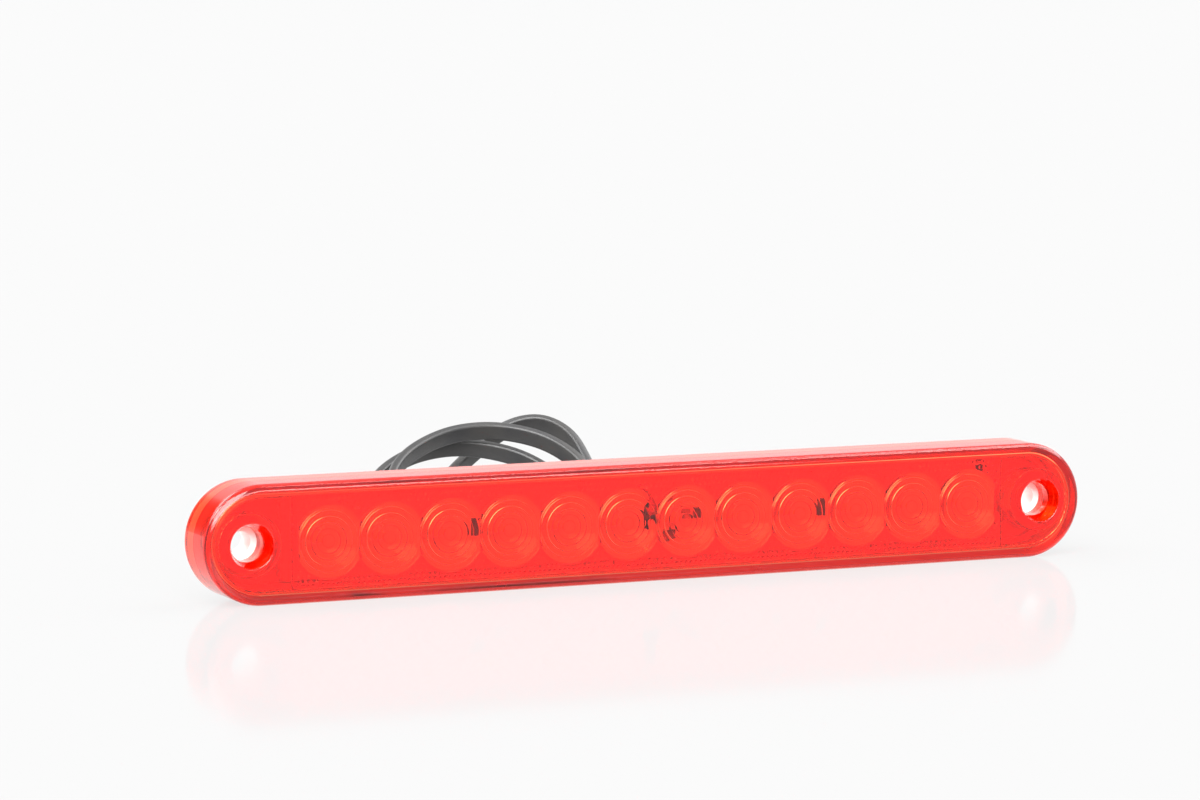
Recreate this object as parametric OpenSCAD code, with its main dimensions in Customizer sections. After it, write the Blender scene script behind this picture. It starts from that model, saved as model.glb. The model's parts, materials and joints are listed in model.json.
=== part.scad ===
// Slim third brake light: twelve LEDs behind a red Fresnel cover, on a white base
// with two screw holes, and a flat two-core cable out of the back.
// X runs along the lamp, +Y is the mounting face, the light leaves towards -Y,
// and the lamp stands on its long lower edge at Z = 0.

/* [Lamp] */
// Length over both round ends
lamp_l = 243; // [242:0.5:250]
// Height, which is also the diameter of the round ends
lamp_h = 30; // [30:0.5:32]
// Depth from the light face to the mounting face
lamp_t = 15.5; // [15.5:0.5:17]
// Distance between the two screw holes
hole_spacing = 219; // [218.5:0.5:220]
// Diameter of the screw hole in the base
screw_d = 5.5; // [4.5:0.5:6]

/* [Lens cover] */
// Thickness of the skirt round the lamp
wall = 2.3; // [2:0.1:2.4]
// Thickness of the light face
face_t = 2.2; // [1.8:0.1:2.4]
// Radius of the round edge between face and skirt
edge_r = 2; // [1.25:0.25:2]
// Diameter of the screw boss
boss_d = 16; // [15:0.5:17]
// Diameter of the bore through the boss
bore_d = 8.6; // [8:0.1:9]
// Diameter of the recess for the screw head
recess_d = 11.2; // [10:0.1:12]
// Depth of that recess
recess_depth = 3.7; // [2:0.1:4]
// Radius of one Fresnel disc
disc_r = 9.1; // [8.6:0.1:9.5]
// How far a disc stands into the lamp
disc_t = 0.9; // [0.6:0.1:1.2]
// Number of rings in one Fresnel disc
disc_rings = 6; // [3:1:8]

/* [LEDs and board] */
// Distance between neighbouring LEDs
led_pitch = 16.15; // [16.05:0.05:16.2]
// Length of the LED package along the lamp
led_w = 3.5; // [3:0.5:5]
// Height of the LED package
led_h = 2.8; // [2.8:0.2:4]
// Thickness of the LED package
led_t = 1.9; // [1:0.1:2.2]
// Length of the circuit board
board_l = 197.4; // [196:0.2:198]
// Height of the circuit board
board_h = 21.4; // [20:0.2:21.6]
// Thickness of the circuit board
board_t = 1.6; // [1:0.1:1.6]

/* [Base] */
// Thickness of the base plate
plate_t = 2.2; // [2:0.1:2.4]
// Height of the rails that the board rests on
rail_t = 0.95; // [0.9:0.05:1.1]
// Diameter of the screw boss on the base
post_d = 14; // [12:0.5:14]

/* [Cable] */
// Width of the flat cable
cable_w = 4.6; // [4:0.1:5]
// Thickness of the flat cable
cable_t = 2.4; // [2:0.1:2.6]
// Diameter of one insulated core
core_d = 1.6; // [1.2:0.1:1.8]
// Diameter of the stranded copper in a core
copper_d = 0.9; // [0.7:0.1:1]
// Length of tinned copper past the insulation of a core
tip_l = 6; // [4:1:8]

/* [Hidden] */
$fn = 64;
led_count = 12;
fit_gap = 0.15;
overrun = 1;
front_y = -lamp_t / 2;
back_y = lamp_t / 2;
mid_z = lamp_h / 2;
end_r = lamp_h / 2;
end_x = lamp_l / 2 - end_r;
hole_x = hole_spacing / 2;

// Lens cover
face_in_y = front_y + face_t;
inner_edge_r = 0.8;
boss_to_y = 1.05;
disc_gap = 0.3;
tooth_h = 0.5;
pad_t = 0.5;
pad_from_x = 98.7;
pad_inset = 3.4;
pad_clear = 0.3;
nib_w = 1.8;
nib_out = 0.5;
nib_y = [0.5, 3.5];
nib_step = 71;

// Base
plate_y = back_y - plate_t;
base_inset = wall + fit_gap;
rim_t = 1.5;
rim_y = nib_y[1] + 0.2;
groove = 1.2;
rail_w = 2.4;
rail_end = 3;
stake_d = 2;
stake_head_d = 3.4;
stake_head_t = 0.6;
stake_x = [-5 * led_pitch, -led_pitch, led_pitch, 5 * led_pitch];
stake_z = 8.6;

// Board and what is on it
board_back_y = plate_y - rail_t;
board_y = board_back_y - board_t;
board_corner_r = 2;
stake_hole_d = 2.2;
slot_w = 2.8;
slot_h = 5.2;
window_d = 2.4;
window_floor_d = 1.8;
window_depth = 0.9;
window_dome = 0.25;
tab_l = 0.5;
tab_h = 2;
tab_t = 0.35;
// Small parts: [x, z] from the middle of the board
resistor_at = [[-48.5, 0], [2.7, 0.2], [48.5, 0], [96.4, 8]];
resistor_size = [1.6, 3.2];
resistor_t = 0.6;
diode_at = [8.1, -3.4];
diode_size = [2.7, 1.6];
diode_t = 1;
surge_at = [13.8, 0.3];
surge_size = [1.3, 1.8];
surge_t = 1;
cap_at = [11.6, 0.3];
cap_size = [1.3, 2];
cap_t = 0.9;

// Cable gland
flange_size = [8, 10];
flange_t = 0.8;
neck_size = [5, 7.4];
sleeve_sizes = [neck_size, [4.7, 7], [4.4, 6.6]];
sleeve_step = 3;
gland_end_y = back_y + len(sleeve_sizes) * sleeve_step;

// Leads inside the lamp
lead_bend_r = 1.4;
lead_from_z = 1.15;
lead_pad_z = 7;
sheath_in_y = 2.4;
joint_d = 2.6;
joint_t = board_y - sheath_in_y;

// Route of the cable: out of the board's slot and the gland, up and over in three
// loose turns behind the lamp, and down to the floor close to the lamp's back
route = [
    [0, sheath_in_y, 15], [0, 16, 15], [0, 24, 15.5], [0, 33, 19], [-1, 42, 25],
    [-7, 51, 30], [-18, 56.5, 32.5], [-31, 56, 32], [-44, 50.5, 28.5], [-53, 42, 23.5],
    [-58, 31, 16], [-57, 21, 8], [-49, 14.5, 4], [-35, 13, 3.2], [-21, 14, 3.2],
    [-8, 17.5, 3.8], [1.5, 25, 7], [5, 36, 13], [5, 47, 21.5], [3.5, 57, 29.5],
    [-2, 64.5, 33], [-11, 67.5, 31], [-22, 67.5, 23.5], [-34, 61, 15.5], [-45, 48, 8],
    [-46, 34, 4], [-37, 23, 3.2], [-23, 20, 3.4], [-10, 23.5, 6], [-3.5, 33.5, 11.5],
    [-3.5, 45, 18.5], [-11.5, 55.5, 25], [-25, 60.5, 28], [-39, 59.5, 27], [-52, 52, 23],
    [-60, 40, 18.5], [-63, 27, 12], [-66, 17.5, 6.5], [-71, 14, 3.6], [-78, 12.5, 2.6]];
turn_axis = [0, -0.35, 0.94];
rings_per_step = 2;
end_points = 5;

// Bare end: each core runs from the sheath to the floor
sheath_end = route[len(route) - 1];
positive_core = [sheath_end + [0, -0.3, 0.85], [-100, 16, 0.9]];
negative_core = [sheath_end + [0, 0.3, -0.85], [-99, 10, 0.9]];

function cell_x(i) = (i - (led_count - 1) / 2) * led_pitch;

function unit(v) = v / norm(v);

// Point on the smooth curve through the route, t from 0 to len(route) - 1
function on_route(t) =
    let (last = len(route) - 1, i = min(floor(t), last - 1), u = t - i,
        b = route[i], c = route[i + 1],
        a = i > 0 ? route[i - 1] : 2 * b - c,
        d = i < last - 1 ? route[i + 2] : 2 * c - b)
    (2 * b + (c - a) * u + (2 * a - 5 * b + 4 * c - d) * u * u
        + (3 * b - a - 3 * c + d) * u * u * u) / 2;

function along(t) =
    unit(on_route(min(t + 0.01, len(route) - 1)) - on_route(max(t - 0.01, 0)));

// One ring of the sheath at t: flat, with round edges, bending only the easy way
function ring(t) =
    let (p = on_route(t), dir = along(t),
        wide = unit(turn_axis - (turn_axis * dir) * dir), thin = cross(dir, wide),
        r = cable_t / 2, half = cable_w / 2 - r)
    [for (side = [1, -1], k = [0 : end_points - 1])
        let (a = 90 - k * 180 / (end_points - 1))
        p + wide * side * (half + r * cos(a)) + thin * side * r * sin(a)];

// Outline of the lamp in the XZ plane, shrunk by inset all round
module stadium(inset) {
    translate([0, mid_z]) {
        square([2 * end_x, 2 * (end_r - inset)], center = true);
        for (side = [-1, 1])
            translate([side * end_x, 0]) circle(end_r - inset);
    }
}

// Oval with straight sides, taller than wide, centred on the cable exit
module oval(size) {
    translate([0, mid_z]) {
        square([size[0], size[1] - size[0]], center = true);
        for (side = [-1, 1])
            translate([0, side * (size[1] - size[0]) / 2]) circle(size[0] / 2);
    }
}

// Extrudes a drawing of the XZ plane from y0 to y1
module slab(y0, y1) {
    translate([0, y1, 0]) rotate([90, 0, 0]) linear_extrude(y1 - y0) children();
}

// Straight round bar along Y
module bar(x, z, y0, y1, d) {
    translate([x, y1, z]) rotate([90, 0, 0]) cylinder(d = d, h = y1 - y0);
}

// Half of a section through the lamp: radius across, towards the light face up
module half_section(r, y0, y1, edge) {
    translate([0, -y1]) square([r, y1 - y0 - edge]);
    translate([0, -y1]) square([r - edge, y1 - y0]);
    translate([r - edge, -y0 - edge]) circle(edge);
}

// Solid stadium from y0 to y1 whose front edge is rounded
module rounded_stadium(inset, y0, y1, edge) {
    r = end_r - inset;
    translate([0, 0, mid_z]) {
        rotate([0, 90, 0]) linear_extrude(2 * end_x, center = true) mirror([0, 1, 0]) {
            half_section(r, y0, y1, edge);
            mirror([1, 0, 0]) half_section(r, y0, y1, edge);
        }
        for (side = [0, 1])
            mirror([side, 0, 0]) translate([end_x, 0, 0])
                rotate([0, 90, 0]) rotate([90, 0, 0])
                    rotate_extrude(angle = 180) half_section(r, y0, y1, edge);
    }
}

// One Fresnel disc: rings that fall outwards, on the inside of the light face
module fresnel_disc(i) {
    ring_w = disc_r / disc_rings;
    teeth = [for (k = [0 : disc_rings - 1]) for (p = [[k * ring_w, disc_t],
        [(k + 1) * ring_w, disc_t - tooth_h]]) p];
    intersection() {
        translate([cell_x(i), face_in_y, mid_z]) rotate([-90, 0, 0])
            rotate_extrude()
                polygon(concat([[0, -pad_t]], teeth, [[disc_r, -pad_t]]));
        translate([cell_x(i) - (led_pitch - disc_gap) / 2, face_in_y - overrun, 0])
            cube([led_pitch - disc_gap, overrun + disc_t + 1, lamp_h]);
    }
}

// Raised pad behind the prism zone round one screw boss
module end_pad(side) {
    slab(face_in_y - pad_t, face_in_y + pad_t)
        intersection() {
            stadium(pad_inset);
            translate([side > 0 ? pad_from_x : -lamp_l, 0]) square([lamp_l - pad_from_x, lamp_h]);
        }
}

// Small ribs inside the skirt that the rim of the base stops against
module nibs() {
    reach = wall + nib_out;
    length = nib_y[1] - nib_y[0];
    for (x = [-nib_step, 0, nib_step], z = [wall / 2, lamp_h - reach])
        translate([x - nib_w / 2, nib_y[0], z]) cube([nib_w, length, reach - wall / 2]);
    for (x = [-lamp_l / 2 + wall / 2, lamp_l / 2 - reach])
        translate([x, nib_y[0], mid_z - nib_w / 2]) cube([reach - wall / 2, length, nib_w]);
}

module lens_cover() {
    color([0.9, 0.08, 0.05, 0.75]) difference() {
        union() {
            difference() {
                rounded_stadium(0, front_y, back_y, edge_r);
                rounded_stadium(wall, face_in_y, back_y + overrun, inner_edge_r);
            }
            for (side = [-1, 1]) {
                bar(side * hole_x, mid_z, front_y + face_t / 2, boss_to_y, boss_d);
                end_pad(side);
            }
            for (i = [0 : led_count - 1]) fresnel_disc(i);
            nibs();
        }
        for (side = [-1, 1]) {
            bar(side * hole_x, mid_z, front_y - overrun, boss_to_y + overrun, bore_d);
            translate([side * hole_x, front_y, mid_z]) rotate([-90, 0, 0])
                cylinder(d1 = recess_d, d2 = bore_d, h = recess_depth);
        }
    }
}

module base_housing() {
    color("white") difference() {
        union() {
            slab(plate_y, back_y - groove) stadium(base_inset);
            slab(back_y - groove, back_y) stadium(base_inset + groove);
            slab(rim_y, plate_y) difference() {
                stadium(base_inset);
                stadium(base_inset + rim_t);
            }
            for (side = [-1, 1]) {
                bar(side * hole_x, mid_z, boss_to_y, back_y, post_d);
                translate([rail_end - board_l / 2, board_back_y, mid_z + side * stake_z - rail_w / 2])
                    cube([board_l - 2 * rail_end, rail_t + overrun, rail_w]);
                for (x = stake_x) {
                    bar(x, mid_z + side * stake_z, board_y - stake_head_t / 2, plate_y + overrun, stake_d);
                    bar(x, mid_z + side * stake_z, board_y - stake_head_t, board_y, stake_head_d);
                }
            }
        }
        for (side = [-1, 1])
            bar(side * hole_x, mid_z, boss_to_y - overrun, back_y + overrun, screw_d);
        slab(plate_y - overrun, back_y + overrun) oval(neck_size);
    }
}

// Adhesive in the groove between the skirt and the back of the base
module sealing_bead() {
    color("ivory") slab(back_y - groove, back_y) difference() {
        stadium(wall);
        stadium(base_inset + groove);
    }
}

module circuit_board() {
    color("whitesmoke") slab(board_y, board_back_y) difference() {
        translate([0, mid_z]) {
            square([board_l - 2 * board_corner_r, board_h], center = true);
            square([board_l, board_h - 2 * board_corner_r], center = true);
            for (x = [-1, 1], z = [-1, 1])
                translate([x * (board_l / 2 - board_corner_r), z * (board_h / 2 - board_corner_r)])
                    circle(board_corner_r);
        }
        for (x = stake_x, side = [-1, 1])
            translate([x, mid_z + side * stake_z]) circle(d = stake_hole_d);
        oval([slot_w, slot_h]);
    }
}

// Box on the front of the board, with its middle at [x, z] from the board's
module on_board(at, size, t) {
    translate([at[0] - size[0] / 2, board_y - t, mid_z + at[1] - size[1] / 2])
        cube([size[0], t, size[1]]);
}

module led(i) {
    color("white") difference() {
        on_board([cell_x(i), 0], [led_w, led_h], led_t);
        translate([cell_x(i), board_y - led_t, mid_z]) rotate([-90, 0, 0])
            cylinder(d1 = window_d, d2 = window_floor_d, h = window_depth);
    }
}

module led_window(i) {
    rise_r = (pow(window_d / 2, 2) + pow(window_dome, 2)) / (2 * window_dome);
    color([1, 0.85, 0.5, 0.8]) translate([cell_x(i), board_y - led_t, mid_z]) rotate([-90, 0, 0]) {
        cylinder(d1 = window_d, d2 = window_floor_d, h = window_depth);
        intersection() {
            translate([0, 0, rise_r - window_dome]) sphere(rise_r);
            translate([0, 0, -window_dome]) cylinder(d = window_d, h = window_dome);
        }
    }
}

module resistor(i) {
    color("dimgray") on_board(resistor_at[i], resistor_size, resistor_t);
}

module input_diode() {
    color("black") on_board(diode_at, diode_size, diode_t);
}

module surge_suppressor() {
    color("black") on_board(surge_at, surge_size, surge_t);
}

module capacitor() {
    color("tan") on_board(cap_at, cap_size, cap_t);
}

module solder_joints() {
    color("silver") {
        for (i = [0 : led_count - 1], side = [-1, 1])
            on_board([cell_x(i) + side * (led_w + tab_l) / 2, 0], [tab_l, tab_h], tab_t);
        for (side = [-1, 1])
            translate([0, board_y - joint_t, mid_z + side * lead_pad_z]) rotate([-90, 0, 0])
                cylinder(d1 = copper_d + 0.2, d2 = joint_d, h = joint_t);
    }
}

// Core from the end of the sheath to its pad, bent twice in the plane X = 0
module inner_lead(side) {
    run_y = sheath_in_y - lead_bend_r;
    first_z = lead_from_z + lead_bend_r;
    last_z = lead_pad_z - lead_bend_r;
    translate([0, 0, mid_z]) mirror([0, 0, side > 0 ? 0 : 1]) {
        for (bend = [[first_z, -90], [last_z, 180]])
            translate([0, sheath_in_y, bend[0]]) rotate([0, 90, 0]) rotate([0, 0, bend[1]])
                rotate_extrude(angle = 90) translate([lead_bend_r, 0]) circle(d = core_d);
        translate([0, run_y, first_z]) cylinder(d = core_d, h = last_z - first_z);
    }
}

module inner_lead_positive() {
    color("firebrick") inner_lead(1);
}

module inner_lead_negative() {
    color("white") inner_lead(-1);
}

// Hole of the cable's own shape, flat with round edges
module cable_gland() {
    color("dimgray") difference() {
        union() {
            slab(plate_y - flange_t, plate_y) oval(flange_size);
            slab(plate_y, back_y) oval(neck_size);
            for (i = [0 : len(sleeve_sizes) - 1])
                slab(back_y + i * sleeve_step, back_y + (i + 1) * sleeve_step) oval(sleeve_sizes[i]);
        }
        slab(plate_y - flange_t - overrun, gland_end_y + overrun) oval([cable_t, cable_w]);
    }
}

module cable_sheath() {
    steps = (len(route) - 1) * rings_per_step;
    n = 2 * end_points;
    points = [for (k = [0 : steps]) each ring(k / rings_per_step)];
    sides = [for (k = [0 : steps - 1], j = [0 : n - 1])
        [k * n + j, k * n + (j + 1) % n, (k + 1) * n + (j + 1) % n, (k + 1) * n + j]];
    first = [for (j = [n - 1 : -1 : 0]) j];
    last = [for (j = [0 : n - 1]) steps * n + j];
    color([0.08, 0.08, 0.09]) polyhedron(points, concat([first], sides, [last]));
}

// Straight round rod from p to q
module rod(p, q, d) {
    v = q - p;
    translate(p) rotate([0, acos(v[2] / norm(v)), atan2(v[1], v[0])]) cylinder(d = d, h = norm(v));
}

module core_positive() {
    color("firebrick") rod(positive_core[0], positive_core[1], core_d);
}

module core_negative() {
    color("white") rod(negative_core[0], negative_core[1], core_d);
}

module tinned_ends() {
    color("silver")
        for (core = [positive_core, negative_core])
            rod(core[1], core[1] + unit([core[1][0] - core[0][0], core[1][1] - core[0][1], 0]) * tip_l,
                copper_d);
}

lens_cover();
base_housing();
sealing_bead();
circuit_board();
for (i = [1 : led_count]) {
    led(i - 1);
    led_window(i - 1);
}
for (i = [1 : len(resistor_at)])
    resistor(i - 1);
input_diode();
surge_suppressor();
capacitor();
solder_joints();
inner_lead_positive();
inner_lead_negative();
cable_gland();
cable_sheath();
core_positive();
core_negative();
tinned_ends();
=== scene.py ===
import json
import math
import random

import bmesh
import bpy
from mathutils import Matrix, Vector
from mathutils.geometry import delaunay_2d_cdt


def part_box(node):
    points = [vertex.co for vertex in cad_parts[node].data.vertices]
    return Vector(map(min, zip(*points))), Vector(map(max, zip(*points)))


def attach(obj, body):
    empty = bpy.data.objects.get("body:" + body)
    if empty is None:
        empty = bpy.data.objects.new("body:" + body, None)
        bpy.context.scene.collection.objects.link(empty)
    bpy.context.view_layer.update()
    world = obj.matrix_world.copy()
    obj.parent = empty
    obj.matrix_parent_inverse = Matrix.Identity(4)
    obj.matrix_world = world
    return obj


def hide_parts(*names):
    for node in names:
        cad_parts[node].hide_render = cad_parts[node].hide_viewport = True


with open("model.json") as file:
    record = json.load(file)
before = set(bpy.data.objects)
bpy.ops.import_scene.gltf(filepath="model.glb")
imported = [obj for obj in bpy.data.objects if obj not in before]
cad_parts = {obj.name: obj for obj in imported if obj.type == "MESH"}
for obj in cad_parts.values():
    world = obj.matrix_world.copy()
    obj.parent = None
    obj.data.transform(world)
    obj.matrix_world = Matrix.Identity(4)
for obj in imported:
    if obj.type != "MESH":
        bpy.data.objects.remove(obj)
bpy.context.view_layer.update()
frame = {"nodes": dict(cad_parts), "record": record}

# Shapes are worked out in millimetres in the CAD frame, and piece() turns them into metres.
MM = 0.001
LENS_IOR = 1.49
NODES = frame["nodes"]


def box_mm(node):
    """Low and high corner of a CAD node's box."""
    low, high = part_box(node)
    return low / MM, high / MM


# ---------------------------------------------------------------- camera
VIEW_TURN = math.radians(24.1)
VIEW_RISE = math.radians(6.11)
VIEW_DISTANCE = 1.2555
VIEW_AIM = Vector((-0.01574, -0.00575, 0.04667))
SENSOR_MM, FOCAL_MM = 36, 150


def add_camera():
    towards = Vector((-math.sin(VIEW_TURN) * math.cos(VIEW_RISE),
                      -math.cos(VIEW_TURN) * math.cos(VIEW_RISE), math.sin(VIEW_RISE)))
    data = bpy.data.cameras.new("camera")
    data.sensor_width = SENSOR_MM
    data.lens = FOCAL_MM
    data.clip_start, data.clip_end = 0.05, 100
    camera = bpy.data.objects.new("camera", data)
    bpy.context.scene.collection.objects.link(camera)
    camera.location = VIEW_AIM + towards * VIEW_DISTANCE
    camera.rotation_mode = "QUATERNION"
    camera.rotation_quaternion = (-towards).to_track_quat("-Z", "Y")
    bpy.context.scene.camera = camera


# ---------------------------------------------------------------- materials
def surface(name, color, roughness, **sockets):
    """A Principled material with constant sockets, and its shader."""
    material = bpy.data.materials.new(name)
    material.use_nodes = True
    shader = material.node_tree.nodes["Principled BSDF"]
    shader.inputs["Base Color"].default_value = (*color, 1)
    shader.inputs["Roughness"].default_value = roughness
    for socket, value in sockets.items():
        shader.inputs[socket.replace("_", " ")].default_value = value
    return material, shader


def grain(material, size_mm, detail=3.0):
    """Noise in the object's own space, with features of about size_mm."""
    tree = material.node_tree
    place = tree.nodes.new("ShaderNodeTexCoord")
    scale = tree.nodes.new("ShaderNodeMapping")
    scale.inputs["Scale"].default_value = [1 / (size_mm * MM)] * 3
    noise = tree.nodes.new("ShaderNodeTexNoise")
    noise.inputs["Scale"].default_value = 1
    noise.inputs["Detail"].default_value = detail
    tree.links.new(place.outputs["Object"], scale.inputs["Vector"])
    tree.links.new(scale.outputs["Vector"], noise.inputs["Vector"])
    return noise.outputs["Fac"]


def spread(material, value, low, high):
    """Maps the middle of a grain's range onto low..high."""
    node = material.node_tree.nodes.new("ShaderNodeMapRange")
    node.inputs["From Min"].default_value = 0.3
    node.inputs["From Max"].default_value = 0.7
    node.inputs["To Min"].default_value = low
    node.inputs["To Max"].default_value = high
    material.node_tree.links.new(value, node.inputs["Value"])
    return node.outputs["Result"]


def blend_color(material, factor, first, second):
    """Blends two colours, each of them a constant or another node's output."""
    tree = material.node_tree
    node = tree.nodes.new("ShaderNodeMix")
    node.data_type = "RGBA"
    for socket, color in (("A", first), ("B", second)):
        if isinstance(color, tuple):
            node.inputs[socket].default_value = (*color, 1)
        else:
            tree.links.new(color, node.inputs[socket])
    tree.links.new(factor, node.inputs["Factor"])
    return node.outputs["Result"]


def bump(material, shader, height, depth_mm):
    node = material.node_tree.nodes.new("ShaderNodeBump")
    node.inputs["Distance"].default_value = depth_mm * MM
    node.inputs["Strength"].default_value = 1
    material.node_tree.links.new(height, node.inputs["Height"])
    material.node_tree.links.new(node.outputs["Normal"], shader.inputs["Normal"])


def paint_back_shade(material, y_mm, color):
    """Paints the mounting face, past y_mm, in a greyer and duller colour: painted shade that keeps it from
    going white in the strong light from behind.
    """
    tree = material.node_tree
    place = tree.nodes.new("ShaderNodeTexCoord")
    split = tree.nodes.new("ShaderNodeSeparateXYZ")
    behind = tree.nodes.new("ShaderNodeMath")
    behind.operation = "GREATER_THAN"
    behind.inputs[1].default_value = y_mm * MM
    tree.links.new(place.outputs["Object"], split.inputs[0])
    tree.links.new(split.outputs["Y"], behind.inputs[0])
    base_color = tree.nodes["Principled BSDF"].inputs["Base Color"]
    plain = base_color.links[0].from_socket
    tree.links.new(blend_color(material, behind.outputs[0], plain, color), base_color)


def moulded(name, color, worn, roughness, grain_mm, depth_mm, **sockets):
    """Moulded plastic or rubber: two close colours, varied gloss and a fine grain."""
    material, shader = surface(name, color, roughness, **sockets)
    links = material.node_tree.links
    clouds = grain(material, 9.0)
    fine = grain(material, grain_mm, 4.0)
    links.new(blend_color(material, spread(material, clouds, 0, 1), color, worn),
              shader.inputs["Base Color"])
    links.new(spread(material, fine, roughness * 0.8, roughness * 1.25), shader.inputs["Roughness"])
    bump(material, shader, fine, depth_mm)
    return material


RED_TINT = (1.0, 0.225, 0.14)
RED_DEPTH_COLOR, RED_DENSITY = (0.985, 0.35, 0.0), 300


def red_plastic(name, tint, roughness, grain_mm, depth_mm):
    """Clear red acrylic: tinted where light goes in and out, and deeper the thicker it is."""
    material, shader = surface(name, tint, roughness, IOR=LENS_IOR, Transmission_Weight=1.0)
    tree = material.node_tree
    wear = grain(material, 14.0)
    tree.links.new(spread(material, wear, roughness * 0.5, roughness * 2), shader.inputs["Roughness"])
    bump(material, shader, grain(material, grain_mm, 2.0), depth_mm)
    absorb = tree.nodes.new("ShaderNodeVolumeAbsorption")
    absorb.inputs["Color"].default_value = (*RED_DEPTH_COLOR, 1)
    absorb.inputs["Density"].default_value = RED_DENSITY
    tree.links.new(absorb.outputs["Volume"], tree.nodes["Material Output"].inputs["Volume"])
    return material


def paint(node, material):
    """Gives a CAD node this material in its own slots."""
    slots = NODES[node].material_slots
    for slot in slots:
        slot.material = material
    if not slots:
        NODES[node].data.materials.append(material)


# ---------------------------------------------------------------- mesh helpers
class Shape:
    """Vertices in millimetres and faces, with a material number for each face."""

    def __init__(self):
        self.points = []
        self.faces = []
        self.slots = []

    def add(self, points):
        start = len(self.points)
        self.points += [tuple(p) for p in points]
        return list(range(start, len(self.points)))

    def face(self, corners, slot=0):
        self.faces.append(tuple(corners))
        self.slots.append(slot)

    def bridge(self, first, second, slot=0):
        """Quads between two closed loops of the same length."""
        count = len(first)
        for k in range(count):
            after = (k + 1) % count
            self.face((first[k], first[after], second[after], second[k]), slot)

    def sweep(self, loops, slot=0):
        """Bridges each loop of points to the next. Returns the first and last loop's numbers."""
        rows = [self.add(loop) for loop in loops]
        for a, b in zip(rows, rows[1:]):
            self.bridge(a, b, slot)
        return rows[0], rows[-1]


def piece(name, shape, materials, sharp=30, weld=0.002, replaces=()):
    """Makes the mesh object, rides it on the lamp and hides the CAD nodes that it stands for."""
    mesh = bpy.data.meshes.new(name)
    mesh.from_pydata([[c * MM for c in p] for p in shape.points], [], shape.faces)
    for material in materials:
        mesh.materials.append(material)
    mesh.polygons.foreach_set("material_index", shape.slots)
    mesh.polygons.foreach_set("use_smooth", [True] * len(mesh.polygons))
    obj = bpy.data.objects.new(name, mesh)
    bpy.context.scene.collection.objects.link(obj)
    tidy(mesh, weld * MM, math.radians(sharp))
    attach(obj, "root")
    if replaces:
        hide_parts(*replaces)
    return obj


def tidy(mesh, distance, sharp):
    """Welds seams, turns every closed shell outwards, and marks the sharp edges."""
    work = bmesh.new()
    work.from_mesh(mesh)
    bmesh.ops.remove_doubles(work, verts=work.verts, dist=distance)
    bmesh.ops.dissolve_degenerate(work, edges=work.edges, dist=distance)
    bmesh.ops.recalc_face_normals(work, faces=work.faces)
    work.to_mesh(mesh)
    work.free()
    mesh.set_sharp_from_angle(angle=sharp)


# ---------------------------------------------------------------- cable
# Route, section and turns of the sheath, as in the CAD model
ROUTE = [
    (0, 2.4, 15), (0, 16, 15), (0, 24, 15.5), (0, 33, 19), (-1, 42, 25),
    (-7, 51, 30), (-18, 56.5, 32.5), (-31, 56, 32), (-44, 50.5, 28.5), (-53, 42, 23.5),
    (-58, 31, 16), (-57, 21, 8), (-49, 14.5, 4), (-35, 13, 3.2), (-21, 14, 3.2),
    (-8, 17.5, 3.8), (1.5, 25, 7), (5, 36, 13), (5, 47, 21.5), (3.5, 57, 29.5),
    (-2, 64.5, 33), (-11, 67.5, 31), (-22, 67.5, 23.5), (-34, 61, 15.5), (-45, 48, 8),
    (-46, 34, 4), (-37, 23, 3.2), (-23, 20, 3.4), (-10, 23.5, 6), (-3.5, 33.5, 11.5),
    (-3.5, 45, 18.5), (-11.5, 55.5, 25), (-25, 60.5, 28), (-39, 59.5, 27), (-52, 52, 23),
    (-60, 40, 18.5), (-63, 27, 12), (-66, 17.5, 6.5), (-71, 14, 3.6), (-78, 12.5, 2.6)]
ROUTE = [Vector(p) for p in ROUTE]
TURN_AXIS = Vector((0, -0.35, 0.94))
CABLE_W, CABLE_T = 4.6, 2.4
CABLE_CORNER = 0.75
CABLE_STEPS = 8


def on_route(t):
    """Point on the smooth curve through the route, t from 0 to its last index."""
    last = len(ROUTE) - 1
    i = min(int(t), last - 1)
    u = t - i
    b, c = ROUTE[i], ROUTE[i + 1]
    a = ROUTE[i - 1] if i > 0 else 2 * b - c
    d = ROUTE[i + 2] if i < last - 1 else 2 * c - b
    return (2 * b + (c - a) * u + (2 * a - 5 * b + 4 * c - d) * u ** 2
            + (3 * b - a - 3 * c + d) * u ** 3) / 2


def rounded_rectangle(width, height, radius, steps=5):
    """Outline of a rectangle with round corners, centred, anticlockwise."""
    points = []
    for sx, sy, start in ((1, 1, 0), (-1, 1, 90), (-1, -1, 180), (1, -1, 270)):
        for k in range(steps + 1):
            a = math.radians(start + 90 * k / steps)
            points.append((sx * (width / 2 - radius) + radius * math.cos(a),
                           sy * (height / 2 - radius) + radius * math.sin(a)))
    return points


def cable_frame(t):
    """Place, width direction and thickness direction of the flat cable at t."""
    last = len(ROUTE) - 1
    ahead = (on_route(min(t + 0.01, last)) - on_route(max(t - 0.01, 0))).normalized()
    wide = (TURN_AXIS - TURN_AXIS.dot(ahead) * ahead).normalized()
    return on_route(t), wide, ahead.cross(wide)


def add_cable(material):
    """The flat sheath swept along its route, and its centre line in metres."""
    shape = Shape()
    outline = rounded_rectangle(CABLE_W, CABLE_T, CABLE_CORNER)
    steps = (len(ROUTE) - 1) * CABLE_STEPS
    loops = []
    for k in range(steps + 1):
        at, wide, thin = cable_frame(k / CABLE_STEPS)
        loops.append([at + wide * a + thin * b for a, b in outline])
    first, last = shape.sweep(loops)
    shape.face(first[::-1])
    shape.face(last)
    sheath = piece("flat_cable", shape, [material], replaces=["cable_sheath"])
    path = [on_route(k / CABLE_STEPS) * MM for k in range(steps + 1)]
    return sheath, path


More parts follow.
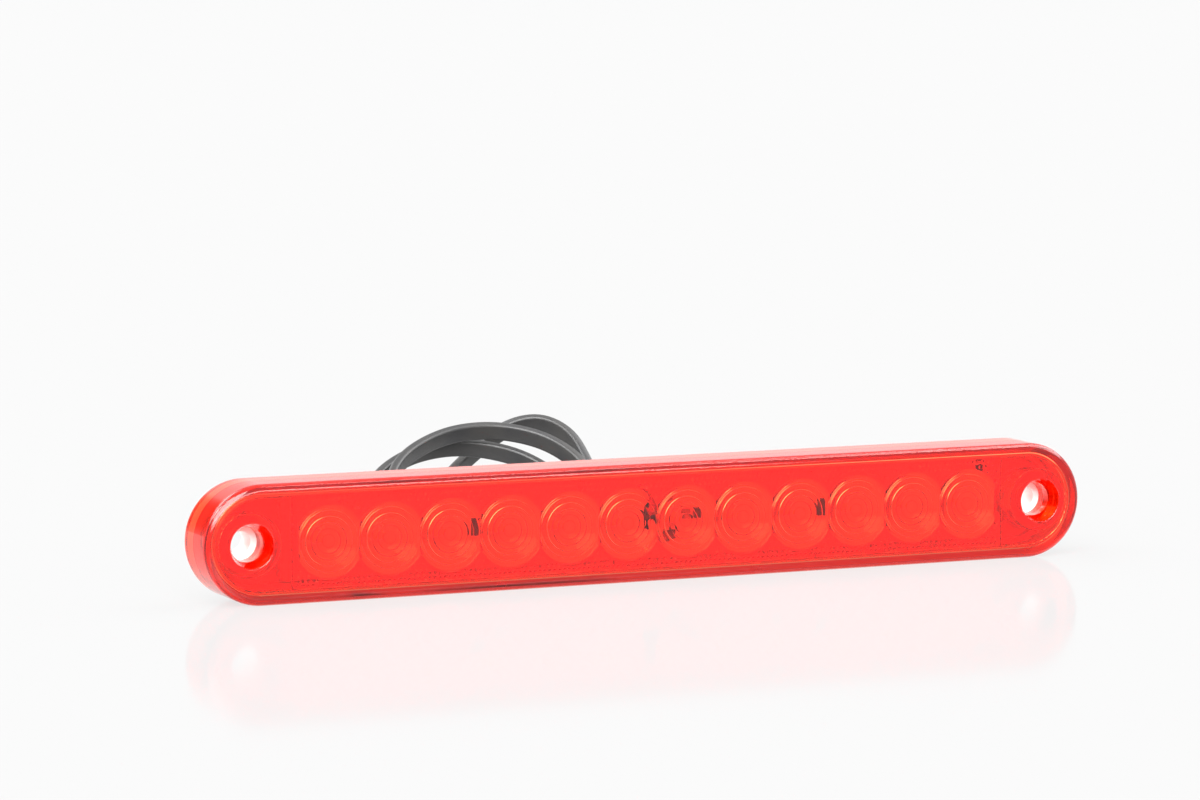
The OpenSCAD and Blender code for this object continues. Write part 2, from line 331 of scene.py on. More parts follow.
# ---------------------------------------------------------------- lens cover
LENS_LOW, LENS_HIGH = box_mm("lens_cover")
FRONT_Y, BACK_Y = LENS_LOW.y, LENS_HIGH.y
MID_Z = (LENS_LOW.z + LENS_HIGH.z) / 2
END_R = (LENS_HIGH.z - LENS_LOW.z) / 2
END_X = LENS_HIGH.x - END_R
HOLE_X = frame["record"]["mounts"][0]["dims"]["spacing_x_mm"] / 2
WALL, FACE_T = 2.3, 2.2
FACE_IN_Y = FRONT_Y + FACE_T
EDGE_R, INNER_EDGE_R, BACK_EDGE_R = 2.0, 0.8, 0.2
# Extra rows of points this far from a rounding keep its neighbours' shading flat
SUPPORT = 0.06
LAND_R = END_R - WALL - INNER_EDGE_R - SUPPORT
LED_COUNT = 12
LED_PITCH = (box_mm("led_12")[0].x - box_mm("led_1")[0].x) / (LED_COUNT - 1)
DISC_R, DISC_T, DISC_RINGS = 9.1, 0.9, 6
DISC_FOCUS = 31.0
CREST = 0.12
DISC_HALF = (LED_PITCH - 0.3) / 2
DRAFT = 0.2
PAD_X, PAD_R, PAD_T, PAD_FOOT = 98.7, END_R - 3.4, 0.5, 0.3
RIB_PITCH, RIB_H = 1.1, 0.2
BOSS_R, BORE_R, RECESS_R, RECESS_DEPTH, RECESS_LIP = 8.0, 4.3, 5.6, 3.7, 0.3
BOSS_END_Y = box_mm("base_housing")[0].y - 0.03
NIB_HALF, NIB_OUT, NIB_X = 0.5, 0.3, 71
NIB_Y = (2.5, 3.5)
STIPPLE_STEP, STIPPLE_R, STIPPLE_H = 1.35, 0.6, 0.22
# Rings of a stipple dot: share of its radius, share of its height, number of points
STIPPLE_RINGS = ((0, 1, 1), (0.35, 0.85, 6), (0.7, 0.45, 8), (1, 0, 9))
# Numbers of the cover's materials
PLAIN, TEXTURED, STEP, PRISM, BONDED, SATIN = range(6)


def cell_x(i):
    return (i - (LED_COUNT - 1) / 2) * LED_PITCH


def lamp_outline():
    """Points on the lamp's spine with their outward direction, anticlockwise in XZ."""
    arc = [90 * k / 32 for k in range(-32, 33)]
    apex = math.degrees(math.asin(NIB_HALF / (END_R - WALL)))
    arc = sorted([a for a in arc if abs(abs(a) - apex) > 1] + [apex, -apex])
    straight = [END_X * k / 12 for k in range(-11, 12)]
    nibs = [x + side * NIB_HALF for x in (-NIB_X, 0, NIB_X) for side in (-1, 1)]
    straight = sorted([x for x in straight if all(abs(x - n) > 1 for n in nibs)] + nibs)
    points = [(END_X, math.cos(math.radians(a)), math.sin(math.radians(a))) for a in arc]
    points += [(x, 0.0, 1.0) for x in reversed(straight)]
    points += [(-END_X, -math.cos(math.radians(a)), math.sin(math.radians(a))) for a in reversed(arc)]
    points += [(x, 0.0, -1.0) for x in straight]
    return points


OUTLINE = lamp_outline()


def ring_at(inset, y):
    """The lamp's outline, shrunk by inset, at this depth."""
    r = END_R - inset
    return [(x + nx * r, y, MID_Z + nz * r) for x, nx, nz in OUTLINE]


def circle(x, z, r, count=96):
    return [(x + r * math.cos(2 * math.pi * k / count), z + r * math.sin(2 * math.pi * k / count))
            for k in range(count)]


def arc_profile(centre, radius, start, end, steps):
    """Points of an arc in (inset, y), angles in degrees from the +inset axis."""
    return [(centre[0] + radius * math.cos(math.radians(start + (end - start) * k / steps)),
             centre[1] + radius * math.sin(math.radians(start + (end - start) * k / steps)))
            for k in range(steps + 1)]


def skirt_profile():
    """Section of the skirt in (inset, y), from the inner face round the back edge to the light face."""
    rim = BACK_EDGE_R
    inner = [(WALL + INNER_EDGE_R + SUPPORT, FACE_IN_Y)]
    inner += arc_profile((WALL + INNER_EDGE_R, FACE_IN_Y + INNER_EDGE_R), INNER_EDGE_R, 270, 180, 6)
    inner += [(WALL, FACE_IN_Y + INNER_EDGE_R + SUPPORT), (WALL, NIB_Y[0]), (WALL, NIB_Y[1])]
    back = [(WALL, BACK_Y - rim - SUPPORT)]
    back += arc_profile((WALL - rim, BACK_Y - rim), rim, 0, 90, 3)
    back += arc_profile((rim, BACK_Y - rim), rim, 90, 180, 3)
    outer = [(0, BACK_Y - rim - SUPPORT), (0, FRONT_Y + EDGE_R + SUPPORT)]
    outer += arc_profile((EDGE_R, FRONT_Y + EDGE_R), EDGE_R, 180, 270, 12)
    outer += [(EDGE_R + SUPPORT, FRONT_Y)]
    return inner + back + outer


def triangulate(loops, lines=(), points=()):
    """2D mesh of closed loops, open lines and loose points. Returns points and triangles."""
    spots, edges = [], []
    for loop in loops:
        start = len(spots)
        spots += loop
        edges += [(start + k, start + (k + 1) % len(loop)) for k in range(len(loop))]
    for line in lines:
        start = len(spots)
        spots += line
        edges += [(start + k, start + k + 1) for k in range(len(line) - 1)]
    spots += points
    found = delaunay_2d_cdt([Vector(p) for p in spots], edges, [], 0, 1e-5)
    return [tuple(p) for p in found[0]], [tuple(f) for f in found[2]]


def face_middle(spots, face):
    return (sum(spots[n][axis] for n in face) / 3 for axis in (0, 1))


def rounded(point):
    """Key by which a stipple point is found again after it was triangulated."""
    return round(point[0], 4), round(point[1], 4)


def in_lamp(x, z, r):
    """True inside the lamp's outline when its ends have this radius."""
    return math.hypot(max(abs(x) - END_X, 0), z - MID_Z) <= r


def disc_outline(grow):
    """Outline of one Fresnel disc cut to its cell, round (0, 0), grown by a draft."""
    r, half = DISC_R + grow, DISC_HALF + grow
    corner = math.asin(half / r)
    arc = [corner * (2 * k / 36 - 1) for k in range(37)]
    top = [(r * math.sin(a), r * math.cos(a)) for a in reversed(arc)]
    bottom = [(r * math.sin(a), -r * math.cos(a)) for a in arc]
    side = math.sqrt(r * r - half * half)
    left = [(-half, side * (1 - 2 * k / 8)) for k in range(1, 8)]
    right = [(half, -side * (1 - 2 * k / 8)) for k in range(1, 8)]
    return top + left + bottom + right


def tooth_fall(r):
    """How far the unbroken lens surface would have fallen at this radius."""
    return r * r / (2 * DISC_FOCUS * (LENS_IOR - 1))


def disc_height(r):
    """Height of the disc over the inner face: a dome, then rings that fall ever more steeply."""
    width = DISC_R / DISC_RINGS
    k = min(int(r / width + 1e-6), DISC_RINGS - 1)
    past = r - k * width
    if k > 0 and past < DRAFT - 1e-6:
        return DISC_T - tooth_fall(k * width) + tooth_fall((k - 1) * width)
    rounding = CREST / 2 if k > 0 and past < DRAFT + 1e-6 else 0
    return DISC_T - tooth_fall(r) + tooth_fall(k * width) - rounding


def is_step(r):
    """True if a face that reaches out to radius r is the steep step between two rings."""
    width = DISC_R / DISC_RINGS
    k = int(r / width + 1e-6)
    return 0 < k < DISC_RINGS and abs(r - k * width - DRAFT) < 0.01


def fresnel_disc():
    """One disc round (0, 0): points (x, z, height) and triangles."""
    width = DISC_R / DISC_RINGS
    radii = [width * t for t in (0.3, 0.6, 0.85)]
    for k in range(1, DISC_RINGS):
        radii += [k * width, k * width + DRAFT, k * width + DRAFT + CREST,
                  (k + 0.4) * width, (k + 0.7) * width]
    loops, lines = [disc_outline(0)], []
    for r in radii:
        if r < DISC_HALF - 0.03:
            loops.append(circle(0, 0, r, 72))
        elif r < DISC_R - 0.03:
            corner = math.asin(min(1, (DISC_HALF - 0.03) / r))
            arc = [corner * (2 * k / 32 - 1) for k in range(33)]
            lines.append([(r * math.sin(a), r * math.cos(a)) for a in arc])
            lines.append([(r * math.sin(a), -r * math.cos(a)) for a in arc])
    spots, faces = triangulate(loops, lines, [(0.0, 0.0)])
    return [(x, z, disc_height(math.hypot(x, z))) for x, z in spots], faces


def wave(t):
    """Triangle wave of period 1, from 0 up to 1."""
    return 1 - abs(2 * (t % 1) - 1)


def pad_height(x, z):
    """Height of the crossed ribs over the inner face."""
    u, v = (x + z) / math.sqrt(2), (x - z) / math.sqrt(2)
    return PAD_T - RIB_H * (wave(u / RIB_PITCH) + wave(v / RIB_PITCH)) / 2


def pad_outline(side, grow):
    """Outline of the raised prism pad round one screw boss."""
    r, x0 = PAD_R + grow / 2, PAD_X - grow
    arc = [math.radians(90 * k / 24) for k in range(-24, 25)]
    points = [(END_X + r * math.cos(a), MID_Z + r * math.sin(a)) for a in arc]
    points += [(x0, MID_Z + r * (1 - 2 * k / 30)) for k in range(31)]
    return [(side * x, z) for x, z in points]


def pad_ribs(side):
    """Crest and valley lines of the crossed ribs, kept just inside the pad."""
    clear, samples = 0.03, 280
    lines = []
    reach = LENS_HIGH.x + END_R
    for sign in (1, -1):
        count = int(reach * math.sqrt(2) / RIB_PITCH)
        for k in range(-2 * count, 2 * count):
            offset = k * RIB_PITCH / 2 * math.sqrt(2)
            run = []
            for step in range(2 * samples):
                z = MID_Z - PAD_R + step * PAD_R / samples
                x = offset - sign * z
                inside = (side * x > PAD_X + clear and in_lamp(x, z, PAD_R - clear)
                          and math.hypot(x - side * HOLE_X, z - MID_Z) > BOSS_R + SUPPORT + clear)
                if inside:
                    run.append((x, z))
                elif run:
                    lines.append(run)
                    run = []
            if run:
                lines.append(run)
    return [[line[0], line[-1]] for line in lines if len(line) > 2]


def inside_disc(x, z, grow):
    """True on the Fresnel disc of the nearest cell, grown by this much."""
    i = min(range(LED_COUNT), key=lambda k: abs(x - cell_x(k)))
    dx = x - cell_x(i)
    return abs(dx) < DISC_HALF + grow and math.hypot(dx, z - MID_Z) < DISC_R + grow


def add_lens(materials):
    """The whole cover in one closed mesh, its materials in the order of PLAIN to SATIN."""
    shape = Shape()
    profile = skirt_profile()
    loops = [ring_at(inset, y) for inset, y in profile]
    rows = [shape.add(loop) for loop in loops]
    nib_row = next(k for k, p in enumerate(profile) if p[1] == NIB_Y[0] and p[0] == WALL)
    count = len(OUTLINE)
    for row in range(len(rows) - 1):
        for k in range(count):
            corners = (rows[row][k], rows[row][(k + 1) % count],
                       rows[row + 1][(k + 1) % count], rows[row + 1][k])
            if row == nib_row and is_nib(k):
                add_nib(shape, corners, k)
            else:
                shape.face(corners, skirt_slot(profile[row], profile[row + 1]))
    add_light_face(shape, [(p[0], p[2]) for p in loops[-1]])
    add_inner_face(shape, [(p[0], p[2]) for p in loops[0]])
    for side in (-1, 1):
        add_boss(shape, side)
    return piece("lens_cover_moulding", shape, materials, sharp=38, weld=0.004,
                 replaces=["lens_cover"])


def skirt_slot(first, second):
    """Material of one skirt row: the weld to the white base, the satin back edge, or plain."""
    if first == (WALL, NIB_Y[1]):
        return BONDED
    return SATIN if min(first[1], second[1]) >= BACK_Y - BACK_EDGE_R - 0.01 else PLAIN


def is_nib(k):
    """True if the outline's step from point k spans one of the nibs."""
    ax, anx, anz = OUTLINE[k]
    bx, bnx, bnz = OUTLINE[(k + 1) % len(OUTLINE)]
    if abs(anz) == 1 and abs(bnz) == 1 and ax != bx:
        return abs(abs(ax - bx) - 2 * NIB_HALF) < 0.01
    r = END_R - WALL
    return abs(abs(anz * r) - NIB_HALF) < 0.01 and abs(abs(bnz * r) - NIB_HALF) < 0.01


def add_nib(shape, corners, k):
    """Raises one inner wall face into a small block."""
    raised = []
    for number, index in zip(corners, (k, k + 1, k + 1, k)):
        x, nx, nz = OUTLINE[index % len(OUTLINE)]
        if abs(nz) != 1:
            nx, nz = math.copysign(1, nx), 0
        px, py, pz = shape.points[number]
        raised.append((px - nx * NIB_OUT, py, pz - nz * NIB_OUT))
    top = shape.add(raised)
    shape.bridge(list(corners), top)
    shape.face(top)


def add_light_face(shape, boundary):
    """Flat outer face inside the rounded edge, open at the two screw recesses."""
    holes = [circle(side * HOLE_X, MID_Z, RECESS_R + RECESS_LIP) for side in (-1, 1)]
    spots, faces = triangulate([boundary, *holes])
    numbers = shape.add([(x, FRONT_Y, z) for x, z in spots])
    for f in faces:
        x, z = face_middle(spots, f)
        in_hole = math.hypot(abs(x) - HOLE_X, z - MID_Z) <= RECESS_R + RECESS_LIP - 0.01
        if not in_hole and in_lamp(x, z, END_R - EDGE_R):
            shape.face([numbers[n] for n in f])


def add_inner_face(shape, boundary):
    """Inner side of the light face: discs, textured corners, prism pads and plain land."""
    disc_spots, disc_faces = fresnel_disc()
    for i in range(LED_COUNT):
        numbers = shape.add([(cell_x(i) + x, FACE_IN_Y + h, MID_Z + z) for x, z, h in disc_spots])
        for f in disc_faces:
            r = max(math.hypot(*disc_spots[n][:2]) for n in f)
            shape.face([numbers[n] for n in f], STEP if is_step(r) else PLAIN)
    inner = [[(cell_x(i) + x, MID_Z + z) for x, z in disc_outline(0)] for i in range(LED_COUNT)]
    outer = [[(cell_x(i) + x, MID_Z + z) for x, z in disc_outline(DRAFT)] for i in range(LED_COUNT)]
    pads = [pad_outline(side, 0) for side in (-1, 1)]
    feet = [pad_outline(side, PAD_FOOT) for side in (-1, 1)]
    holes = [circle(side * HOLE_X, MID_Z, BOSS_R + SUPPORT) for side in (-1, 1)]
    ribs = [line for side in (-1, 1) for line in pad_ribs(side)]
    draw = random.Random(11)
    dots, dotted = [], {}
    edge = LAND_R - STIPPLE_R - 0.1
    across = int(edge / STIPPLE_STEP)
    for a in range(int(-PAD_X / STIPPLE_STEP), int(PAD_X / STIPPLE_STEP) + 1):
        for b in range(-across, across + 1):
            x = (a + draw.uniform(-0.05, 0.05) + b % 2 / 2) * STIPPLE_STEP
            z = MID_Z + (b + draw.uniform(-0.05, 0.05)) * STIPPLE_STEP
            h = draw.uniform(0.5, 1) * STIPPLE_H
            if abs(x) > PAD_X - STIPPLE_R - PAD_FOOT or inside_disc(x, z, STIPPLE_R + 0.15):
                continue
            for r, share, count in STIPPLE_RINGS:
                for dot in circle(x, z, r * STIPPLE_R, count):
                    dots.append(dot)
                    dotted[rounded(dot)] = share * h
    spots, faces = triangulate([boundary, *inner, *outer, *pads, *feet, *holes], ribs, dots)
    heights = []
    for x, z in spots:
        h = dotted.get(rounded((x, z)), 0)
        if abs(math.hypot(abs(x) - HOLE_X, z - MID_Z) - BOSS_R - SUPPORT) < 0.01:
            h = PAD_T / 2
        elif abs(x) > PAD_X - 0.01 and in_lamp(x, z, PAD_R + 0.01):
            h = pad_height(x, z)
        elif inside_disc(x, z, 0.01):
            x0 = x - cell_x(min(range(LED_COUNT), key=lambda k: abs(x - cell_x(k))))
            h = disc_height(math.hypot(x0, z - MID_Z))
        heights.append(h)
    numbers = shape.add([(x, FACE_IN_Y + h, z) for (x, z), h in zip(spots, heights)])
    limit = LAND_R + 0.001
    for f in faces:
        x, z = face_middle(spots, f)
        if inside_disc(x, z, -0.001) or not in_lamp(x, z, limit):
            continue
        if math.hypot(abs(x) - HOLE_X, z - MID_Z) < BOSS_R + SUPPORT - 0.005:
            continue
        on_pad = abs(x) > PAD_X and in_lamp(x, z, PAD_R)
        shape.face([numbers[n] for n in f], PRISM if on_pad else TEXTURED if abs(x) < PAD_X else PLAIN)


def add_boss(shape, side):
    """Screw boss from the inner face to its end on the base, and back up the bore to the light face."""
    edge = 0.15
    steps = [(BOSS_R + SUPPORT, FACE_IN_Y + PAD_T / 2), (BOSS_R, FACE_IN_Y + PAD_T / 2 + 0.1),
             (BOSS_R, FACE_IN_Y + PAD_T + 0.3), (BOSS_R, BOSS_END_Y - edge - SUPPORT),
             (BOSS_R, BOSS_END_Y - edge), (BOSS_R - 0.05, BOSS_END_Y - 0.05),
             (BOSS_R - edge, BOSS_END_Y), (BOSS_R - edge - SUPPORT, BOSS_END_Y),
             (BORE_R + edge + SUPPORT, BOSS_END_Y), (BORE_R + edge, BOSS_END_Y),
             (BORE_R + 0.05, BOSS_END_Y - 0.05), (BORE_R, BOSS_END_Y - edge),
             (BORE_R, BOSS_END_Y - edge - SUPPORT),
             (BORE_R, FRONT_Y + RECESS_DEPTH + edge + SUPPORT), (BORE_R, FRONT_Y + RECESS_DEPTH + edge),
             (BORE_R + 0.05, FRONT_Y + RECESS_DEPTH - edge),
             (BORE_R + 0.08, FRONT_Y + RECESS_DEPTH - edge - SUPPORT),
             (RECESS_R - 0.07, FRONT_Y + RECESS_LIP + SUPPORT), (RECESS_R - 0.05, FRONT_Y + RECESS_LIP),
             (RECESS_R, FRONT_Y + 0.12), (RECESS_R + 0.08, FRONT_Y + 0.03), (RECESS_R + 0.24, FRONT_Y),
             (RECESS_R + RECESS_LIP, FRONT_Y)]
    shape.sweep([[(x, y, z) for x, z in circle(side * HOLE_X, MID_Z, r)] for r, y in steps])


# ---------------------------------------------------------------- base, bead and cable ends
def add_bead(material):
    """Adhesive in the groove between the skirt and the base, with a sagging, slightly uneven top."""
    low, high = box_mm("sealing_bead")
    gap = 0.02
    inner = low.x + END_X + END_R
    outer = inner + 1.35
    floor_y = low.y + gap
    draw = random.Random(3)
    waves = [(draw.uniform(0.02, 0.05), draw.uniform(0.05, 0.3), draw.uniform(0, 6)) for _ in range(5)]
    section = ((inner + gap, floor_y, 0), (outer - gap, floor_y, 0), (outer - gap, high.y - 0.12, 0.2),
               (outer - 0.3, high.y - 0.3, 0.7), ((inner + outer) / 2, high.y - 0.38, 1),
               (inner + 0.3, high.y - 0.3, 0.7), (inner + gap, high.y - 0.12, 0.2))
    shape = Shape()
    rows = []
    for inset, y, share in section:
        loop = []
        for x, _, z in ring_at(inset, y):
            sway = sum(size * math.sin(x * rate + z * 0.4 + phase) for size, rate, phase in waves)
            loop.append((x, y + share * sway, z))
        rows.append(shape.add(loop))
    for first, second in zip(rows, rows[1:] + rows[:1]):
        shape.bridge(first, second)
    return piece("sealing_bead_cured", shape, [material], replaces=["sealing_bead"])


def oval_loop(width, height, y, steps=24):
    """Oval with straight sides round the cable exit, at this depth."""
    r, half = width / 2, (height - width) / 2
    points = []
    for side in (1, -1):
        for k in range(steps + 1):
            a = math.pi * k / steps * side
            points.append((side * r * math.cos(math.pi * k / steps), y,
                           MID_Z + side * half + r * math.sin(a)))
    return points


def add_gland(material):
    """Rubber gland: flange inside, neck in the base, and a ribbed sleeve that tapers on the cable."""
    low, high = box_mm("cable_gland")
    flange_y, neck_y, back_y = low.y, low.y + 0.8, BACK_Y
    sleeve = high.y - back_y
    outer = [(4.8, 6.8, flange_y), (7.6, 9.6, flange_y), (8, 10, flange_y + 0.2), (8, 10, neck_y - 0.2),
             (7.8, 9.8, neck_y), (5, 7.4, neck_y), (5, 7.4, back_y)]
    ribs = 4
    for k in range(ribs):
        start = k / ribs
        for share, dip in ((0.04, 0), (0.55, 0), (0.62, 0.35), (0.9, 0.35), (0.97, 0)):
            t = start + share / ribs
            outer.append((5 - 0.6 * t - dip, 7.4 - 0.8 * t - dip, back_y + sleeve * t))
    outer += [(4.4, 6.6, high.y - 0.2), (4.1, 6.3, high.y)]
    hole = rounded_rectangle(CABLE_T + 0.1, CABLE_W + 0.1, CABLE_CORNER + 0.05)
    shape = Shape()
    first, last = shape.sweep([oval_loop(*values) for values in outer])
    ends = [shape.add([(x, y, MID_Z + z) for x, z in hole]) for y in (flange_y, high.y)]
    shape.bridge(ends[0], ends[1])
    for loop, end in ((first, ends[0]), (last, ends[1])):
        spots, faces = triangulate([[(shape.points[n][0], shape.points[n][2]) for n in loop],
                                    [(shape.points[n][0], shape.points[n][2]) for n in end]])
        y = shape.points[loop[0]][1]
        numbers = shape.add([(x, y, z) for x, z in spots])
        reach = ((CABLE_T + 0.1) / 2, (CABLE_W + 0.1) / 2)
        for f in faces:
            x, z = face_middle(spots, f)
            if abs(x) > reach[0] - 0.001 or abs(z - MID_Z) > reach[1] - 0.001:
                shape.face([numbers[n] for n in f])
            elif min(math.hypot(spots[n][0], spots[n][1] - MID_Z) for n in f) > reach[0] + 0.9:
                shape.face([numbers[n] for n in f])
    return piece("cable_gland_boot", shape, [material], sharp=40,
                 replaces=["cable_gland"])


# Each core leaves the sheath at an offset from its end and runs to a point on the floor
CORES = [((0, -0.3, 0.85), (-100, 16, 0.9)), ((0, 0.3, -0.85), (-99, 10, 0.9))]
STRAND_R, STRAND_RING, TIP_L = 0.145, 0.29, 6


def add_strands(material):
    """Tinned copper at the end of each core: one strand in the middle and six twisted round it."""
    shape = Shape()
    steps, sides, turns = 18, 8, 0.7
    for offset, end in CORES:
        ahead = Vector(end) - (ROUTE[-1] + Vector(offset))
        ahead = Vector((ahead.x, ahead.y, 0)).normalized()
        across = ahead.cross(Vector((0, 0, 1)))
        up = across.cross(ahead)
        for strand in range(7):
            loops = []
            for k in range(steps + 1):
                t = k / steps
                a = 2 * math.pi * (strand / 6 + turns * t)
                ring = 0 if strand == 6 else STRAND_RING
                middle = Vector(end) + ahead * (TIP_L * t) + (across * math.cos(a) + up * math.sin(a)) * ring
                loops.append([middle + (across * math.cos(b) + up * math.sin(b)) * STRAND_R
                              for b in (2 * math.pi * j / sides for j in range(sides))])
            first, last = shape.sweep(loops)
            shape.face(first[::-1])
            shape.face(last)
    return piece("tinned_strands", shape, [material], sharp=50, weld=0.0001,
                 replaces=["tinned_ends"])


# ---------------------------------------------------------------- make everything
add_camera()
pvc = moulded("sheath_pvc", (0.012, 0.012, 0.013), (0.02, 0.019, 0.018), 0.42, 0.35, 0.012)
cable, cable_path = add_cable(pvc)

clear_red = red_plastic("lens_red", RED_TINT, 0.03, 12.0, 0.0001)
textured_red = red_plastic("lens_red_textured", RED_TINT, 0.06, 0.5, 0.006)
# The ring steps get a darker red than the rest of the same moulding: painted shade that darkens the lines
# between the Fresnel rings.
shaded_step_red = red_plastic("lens_red_steps", (0.93, 0.15, 0.09), 0.15, 0.5, 0.01)
# The prism pads get a paler, more orange red than the rest of the same moulding: painted light that
# brightens the end zones, where less light from the board reaches.
lit_prism_red = red_plastic("lens_red_prisms", (1.0, 0.9, 0.3), 0.1, 0.5, 0.004)
bonded = moulded("lens_weld_white", (0.95, 0.92, 0.9), (0.92, 0.88, 0.86), 0.5, 0.4, 0.01)
satin_red = red_plastic("lens_red_satin", RED_TINT, 0.35, 0.3, 0.004)
add_lens([clear_red, textured_red, shaded_step_red, lit_prism_red, bonded, satin_red])

white = moulded("base_white", (0.93, 0.93, 0.91), (0.9, 0.9, 0.88), 0.4, 0.3, 0.01)
# Painted shade: the base's mounting face, past the back of the cover, is painted greyer than the rest of the
# white part.
paint_back_shade(white, BACK_Y - 0.1, (0.6, 0.6, 0.59))
paint("base_housing", white)
mask = moulded("board_white", (0.93, 0.93, 0.92), (0.91, 0.91, 0.89), 0.28, 1.5, 0.004)
paint("circuit_board", mask)
sealant = moulded("sealant", (0.8, 0.77, 0.68), (0.72, 0.69, 0.6), 0.32, 1.2, 0.03)
add_bead(sealant)
package = moulded("led_package", (0.9, 0.9, 0.88), (0.87, 0.87, 0.85), 0.35, 0.1, 0.002)
silicone = moulded("led_silicone", (1.0, 0.85, 0.45), (0.95, 0.78, 0.4), 0.15, 0.3, 0.002)
for i in range(1, LED_COUNT + 1):
    paint(f"led_{i}", package)
    paint(f"led_window_{i}", silicone)
black = moulded("chip_black", (0.06, 0.058, 0.058), (0.08, 0.078, 0.078), 0.4, 0.1, 0.002)
for name in ("resistor_1", "resistor_2", "resistor_3", "resistor_4", "input_diode", "surge_suppressor"):
    paint(name, black)
paint("capacitor", moulded("capacitor_ceramic", (0.45, 0.3, 0.18), (0.4, 0.26, 0.15), 0.4, 0.1, 0.002))
solder = moulded("solder", (0.72, 0.72, 0.71), (0.62, 0.62, 0.6), 0.28, 0.4, 0.01, Metallic=1.0)
paint("solder_joints", solder)
red_core = moulded("core_red", (0.5, 0.02, 0.02), (0.42, 0.02, 0.02), 0.4, 0.3, 0.005)
white_core = moulded("core_white", (0.8, 0.79, 0.76), (0.72, 0.71, 0.68), 0.4, 0.3, 0.005)
for name, core in (("core_positive", red_core), ("inner_lead_positive", red_core),
                   ("core_negative", white_core), ("inner_lead_negative", white_core)):
    paint(name, core)
rubber = moulded("gland_rubber", (0.025, 0.025, 0.027), (0.04, 0.04, 0.042), 0.55, 0.4, 0.02)
gland = add_gland(rubber)
strands = add_strands(solder)


# ---------------------------------------------------------------- studio
# Light from all round, round patches of more or less of it, and softboxes in front and at the sides.
# Patch: direction, full and fade angle, strength
STUDIO_BASE = 0.98
STUDIO_PATCHES = [
    ((0.41, -0.17, 0.9), 5, 9, 4),
    ((-0.7, 0.1, 0.63), 8, 12, 14),
    ((-0.35, 0.9, 0.28), 8, 22, -0.85)]
# Softbox: from and to azimuth, from and to elevation, fade, strength. Azimuth 0 is -Y, 90 is +X
SOFTBOXES = [
    (-55, 26, 13, 25, 2, 9),
    (-70, 2, 25, 62, 5, 12),
    (-175, -105, 25, 60, 5, 4),
    (60, 120, 25, 60, 5, 5)]
FLOOR_GREY = 0.04
FLOOR_GLOW = 0.785
FLOOR_GLOSS = 0.09


def add_floor():
    """White lightbox floor: it glows a little from below, so that there is hardly a contact shadow."""
    mesh = bpy.data.meshes.new("floor")
    half = 12.0
    mesh.from_pydata([(-half, -half, 0), (half, -half, 0), (half, half, 0), (-half, half, 0)], [],
                     [(0, 1, 2, 3)])
    floor = bpy.data.objects.new("floor", mesh)
    bpy.context.scene.collection.objects.link(floor)
    material = bpy.data.materials.new("floor")
    material.use_nodes = True
    tree = material.node_tree
    tree.nodes.remove(tree.nodes["Principled BSDF"])
    matt = tree.nodes.new("ShaderNodeBsdfDiffuse")
    matt.inputs["Color"].default_value = (FLOOR_GREY, FLOOR_GREY, FLOOR_GREY, 1)
    gloss = tree.nodes.new("ShaderNodeBsdfGlossy")
    gloss.inputs["Color"].default_value = (1, 1, 1, 1)
    gloss.inputs["Roughness"].default_value = 0.08
    mix = tree.nodes.new("ShaderNodeMixShader")
    mix.inputs["Fac"].default_value = FLOOR_GLOSS
    glow = tree.nodes.new("ShaderNodeEmission")
    glow.inputs["Color"].default_value = (1, 1, 1, 1)
    glow.inputs["Strength"].default_value = FLOOR_GLOW
    total = tree.nodes.new("ShaderNodeAddShader")
    tree.links.new(matt.outputs[0], total.inputs[0])
    tree.links.new(glow.outputs[0], total.inputs[1])
    tree.links.new(total.outputs[0], mix.inputs[1])
    tree.links.new(gloss.outputs[0], mix.inputs[2])
    tree.links.new(mix.outputs[0], tree.nodes["Material Output"].inputs["Surface"])
    mesh.materials.append(material)


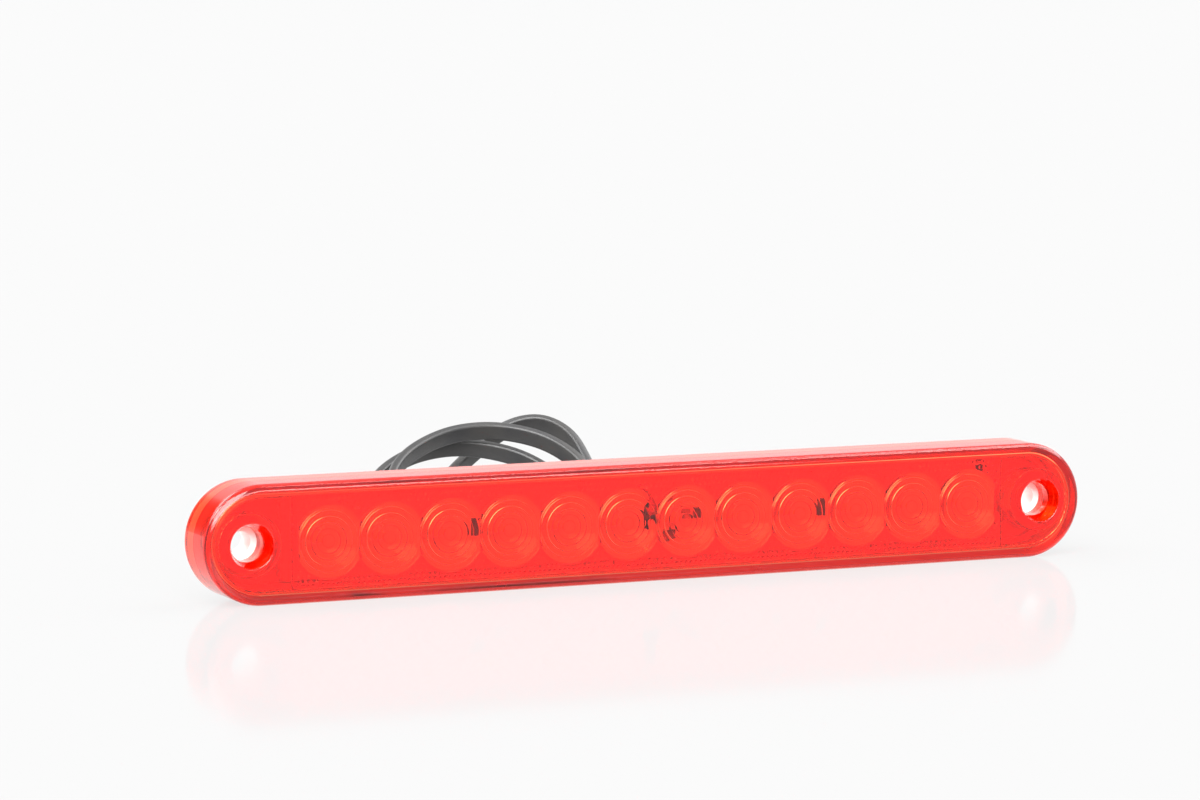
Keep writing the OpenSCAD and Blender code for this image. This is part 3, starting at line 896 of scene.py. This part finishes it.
def add_world():
    """Soft studio light from all round, with softboxes and a darker rear corner."""
    world = bpy.data.worlds.new("studio")
    world.use_nodes = True
    tree = world.node_tree
    place = tree.nodes.new("ShaderNodeTexCoord")
    axes = tree.nodes.new("ShaderNodeSeparateXYZ")
    tree.links.new(place.outputs["Generated"], axes.inputs[0])

    def math_node(operation, first, second):
        node = tree.nodes.new("ShaderNodeMath")
        node.operation = operation
        for socket, value in zip(node.inputs, (first, second)):
            if isinstance(value, (int, float)):
                socket.default_value = value
            else:
                tree.links.new(value, socket)
        return node.outputs[0]

    def ramp(value, start, end, top):
        """0 before start, top after end, smooth between them."""
        node = tree.nodes.new("ShaderNodeMapRange")
        node.interpolation_type = "SMOOTHSTEP"
        node.inputs["From Min"].default_value = start
        node.inputs["From Max"].default_value = end
        node.inputs["To Max"].default_value = top
        tree.links.new(value, node.inputs["Value"])
        return node.outputs["Result"]

    def patch(direction, full, fade, value):
        dot = tree.nodes.new("ShaderNodeVectorMath")
        dot.operation = "DOT_PRODUCT"
        dot.inputs[1].default_value = Vector(direction).normalized()
        tree.links.new(place.outputs["Generated"], dot.inputs[0])
        return ramp(dot.outputs["Value"], math.cos(math.radians(fade)), math.cos(math.radians(full)), value)

    azimuth = math_node("ARCTAN2", axes.outputs["X"], math_node("MULTIPLY", axes.outputs["Y"], -1))
    elevation = math_node("ARCSINE", axes.outputs["Z"], 0)

    def softbox(left, right, low, high, fade, value):
        left, right, low, high, fade = (math.radians(a) for a in (left, right, low, high, fade))
        across = math_node("MULTIPLY", ramp(azimuth, left - fade, left, 1),
                           math_node("SUBTRACT", 1, ramp(azimuth, right, right + fade, 1)))
        up = math_node("MULTIPLY", ramp(elevation, low - fade, low, 1),
                       math_node("SUBTRACT", 1, ramp(elevation, high, high + fade, 1)))
        return math_node("MULTIPLY", math_node("MULTIPLY", across, up), value)

    total = STUDIO_BASE
    for values in STUDIO_PATCHES:
        total = math_node("ADD", patch(*values), total)
    for values in SOFTBOXES:
        total = math_node("ADD", softbox(*values), total)
    tree.nodes["Background"].inputs["Color"].default_value = (1, 1, 1, 1)
    tree.links.new(total, tree.nodes["Background"].inputs["Strength"])
    bpy.context.scene.world = world


add_floor()
add_world()
bpy.context.scene.view_settings.view_transform = "Standard"
